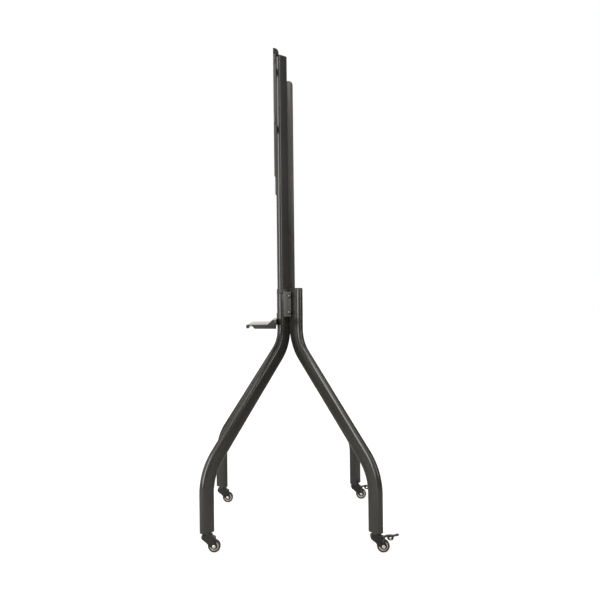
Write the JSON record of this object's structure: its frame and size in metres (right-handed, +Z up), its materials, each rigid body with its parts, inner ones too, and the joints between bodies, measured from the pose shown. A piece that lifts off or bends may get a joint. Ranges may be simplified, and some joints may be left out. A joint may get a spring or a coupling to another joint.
{
  "type": "tv cart",
  "caption": "Black rolling television cart with splayed bent-tube legs, upright masts, a height-adjustable screen bracket with sliding arms, a shelf and braked casters.",
  "frame": {"origin": "centre of the overall footprint, on the ground", "axes": "+Z up; -Y towards the side the screen hangs on, +Y towards the cable side and the brake pedals; +X across, to the viewer's right from the screen side"},
  "size_m": [0.6878, 0.6239, 1.6423],
  "materials": {
    "frame_powder_coat": "black powder coat, fine satin",
    "mast_powder_coat": "black powder coat, fine satin",
    "bracket_powder_coat": "black powder coat",
    "cover_sheet_coat": "black powder coat on thin sheet",
    "tray_powder_coat": "black powder coat, smooth satin",
    "hub_casting": "grey coated steel",
    "cap_plastic": "moulded, fine grain",
    "bolt_steel": "blackened steel",
    "caster_plastic": "moulded, satin",
    "wheel_core_plastic": "moulded, warm grey",
    "tyre_rubber": "soft tread",
    "bright_steel": "bright",
    "pedal_plastic": "moulded"
  },
  "bodies": {
    "frame": {"front_leg_L": "frame_powder_coat", "front_leg_R": "frame_powder_coat", "rear_leg_L": "frame_powder_coat", "rear_leg_R": "frame_powder_coat", "mast_tube_L": "mast_powder_coat", "mast_tube_R": "mast_powder_coat", "mast_cap_L": "cap_plastic", "mast_cap_R": "cap_plastic", "mast_collar_L": "cap_plastic", "mast_collar_R": "cap_plastic", "rear_leg_cap_L": "cap_plastic", "rear_leg_cap_R": "cap_plastic", "foot_plug_front_L": "cap_plastic", "foot_plug_front_R": "cap_plastic", "foot_plug_rear_L": "cap_plastic", "foot_plug_rear_R": "cap_plastic", "hub_core": "hub_casting", "hub_plate_L": "hub_casting", "hub_plate_R": "hub_casting", "hub_bolt_lower_L": "bolt_steel", "hub_bolt_lower_R": "bolt_steel", "hub_bolt_upper_L": "bolt_steel", "hub_bolt_upper_R": "bolt_steel", "cable_cover": "cover_sheet_coat", "mast_tie_lower": "cover_sheet_coat", "mast_tie_upper": "cover_sheet_coat", "tray": "tray_powder_coat", "tray_wedge_L": "bracket_powder_coat", "tray_wedge_R": "bracket_powder_coat"},
    "screen_bracket": {"carriage": "bracket_powder_coat", "rail_upper": "bracket_powder_coat", "rail_lower": "bracket_powder_coat", "rail_screw_lower_L": "bolt_steel", "rail_screw_lower_R": "bolt_steel", "rail_screw_upper_L": "bolt_steel", "rail_screw_upper_R": "bolt_steel"},
    "screen_arm_L": {"arm_L": "bracket_powder_coat"},
    "screen_arm_R": {"arm_R": "bracket_powder_coat"},
    "caster_swivel_front_L": {"caster_fork_front_L": "caster_plastic", "caster_axle_front_L": "bright_steel"},
    "caster_wheel_front_L": {"wheel_core_front_L": "wheel_core_plastic", "wheel_tyre_front_L": "tyre_rubber"},
    "caster_swivel_front_R": {"caster_fork_front_R": "caster_plastic", "caster_axle_front_R": "bright_steel"},
    "caster_wheel_front_R": {"wheel_core_front_R": "wheel_core_plastic", "wheel_tyre_front_R": "tyre_rubber"},
    "caster_swivel_rear_L": {"caster_fork_rear_L": "caster_plastic", "caster_axle_rear_L": "bright_steel", "pedal_pin_rear_L": "bolt_steel"},
    "caster_wheel_rear_L": {"wheel_core_rear_L": "wheel_core_plastic", "wheel_tyre_rear_L": "tyre_rubber"},
    "caster_swivel_rear_R": {"caster_fork_rear_R": "caster_plastic", "caster_axle_rear_R": "bright_steel", "pedal_pin_rear_R": "bolt_steel"},
    "caster_wheel_rear_R": {"wheel_core_rear_R": "wheel_core_plastic", "wheel_tyre_rear_R": "tyre_rubber"},
    "pedal_L": {"brake_pedal_rear_L": "pedal_plastic"},
    "pedal_R": {"brake_pedal_rear_R": "pedal_plastic"}
  },
  "joints": [
    {"name": "bracket_height", "type": "slide", "parent": "frame", "child": "screen_bracket", "axis": [0, 0, 1], "range_m": [-0.3, 0.02]},
    {"name": "arm_spread_L", "type": "slide", "parent": "screen_bracket", "child": "screen_arm_L", "axis": [-1, 0, 0], "range_m": [-0.1, 0.01]},
    {"name": "arm_spread_R", "type": "slide", "parent": "screen_bracket", "child": "screen_arm_R", "axis": [1, 0, 0], "range_m": [-0.1, 0.01]},
    {"name": "swivel_front_L", "type": "hinge", "parent": "frame", "child": "caster_swivel_front_L", "pos_m": [-0.29656, -0.28898, 0.062], "axis": [0, 0, 1], "continuous": true},
    {"name": "wheel_spin_front_L", "type": "hinge", "parent": "caster_swivel_front_L", "child": "caster_wheel_front_L", "pos_m": [-0.29656, -0.26648, 0.02], "axis": [1, 0, 0], "continuous": true},
    {"name": "swivel_front_R", "type": "hinge", "parent": "frame", "child": "caster_swivel_front_R", "pos_m": [0.29656, -0.28898, 0.062], "axis": [0, 0, 1], "continuous": true},
    {"name": "wheel_spin_front_R", "type": "hinge", "parent": "caster_swivel_front_R", "child": "caster_wheel_front_R", "pos_m": [0.29656, -0.26648, 0.02], "axis": [1, 0, 0], "continuous": true},
    {"name": "swivel_rear_L", "type": "hinge", "parent": "frame", "child": "caster_swivel_rear_L", "pos_m": [-0.32113, 0.24007, 0.062], "axis": [0, 0, 1], "continuous": true},
    {"name": "wheel_spin_rear_L", "type": "hinge", "parent": "caster_swivel_rear_L", "child": "caster_wheel_rear_L", "pos_m": [-0.32113, 0.26257, 0.02], "axis": [1, 0, 0], "continuous": true},
    {"name": "swivel_rear_R", "type": "hinge", "parent": "frame", "child": "caster_swivel_rear_R", "pos_m": [0.32113, 0.24007, 0.062], "axis": [0, 0, 1], "continuous": true},
    {"name": "wheel_spin_rear_R", "type": "hinge", "parent": "caster_swivel_rear_R", "child": "caster_wheel_rear_R", "pos_m": [0.32113, 0.26257, 0.02], "axis": [1, 0, 0], "continuous": true},
    {"name": "brake_pedal_L", "type": "hinge", "parent": "caster_swivel_rear_L", "child": "pedal_L", "pos_m": [-0.32113, 0.26257, 0.0456], "axis": [-1, 0, 0], "range_deg": [0, 8]},
    {"name": "brake_pedal_R", "type": "hinge", "parent": "caster_swivel_rear_R", "child": "pedal_R", "pos_m": [0.32113, 0.26257, 0.0456], "axis": [-1, 0, 0], "range_deg": [0, 8]}
  ]
}
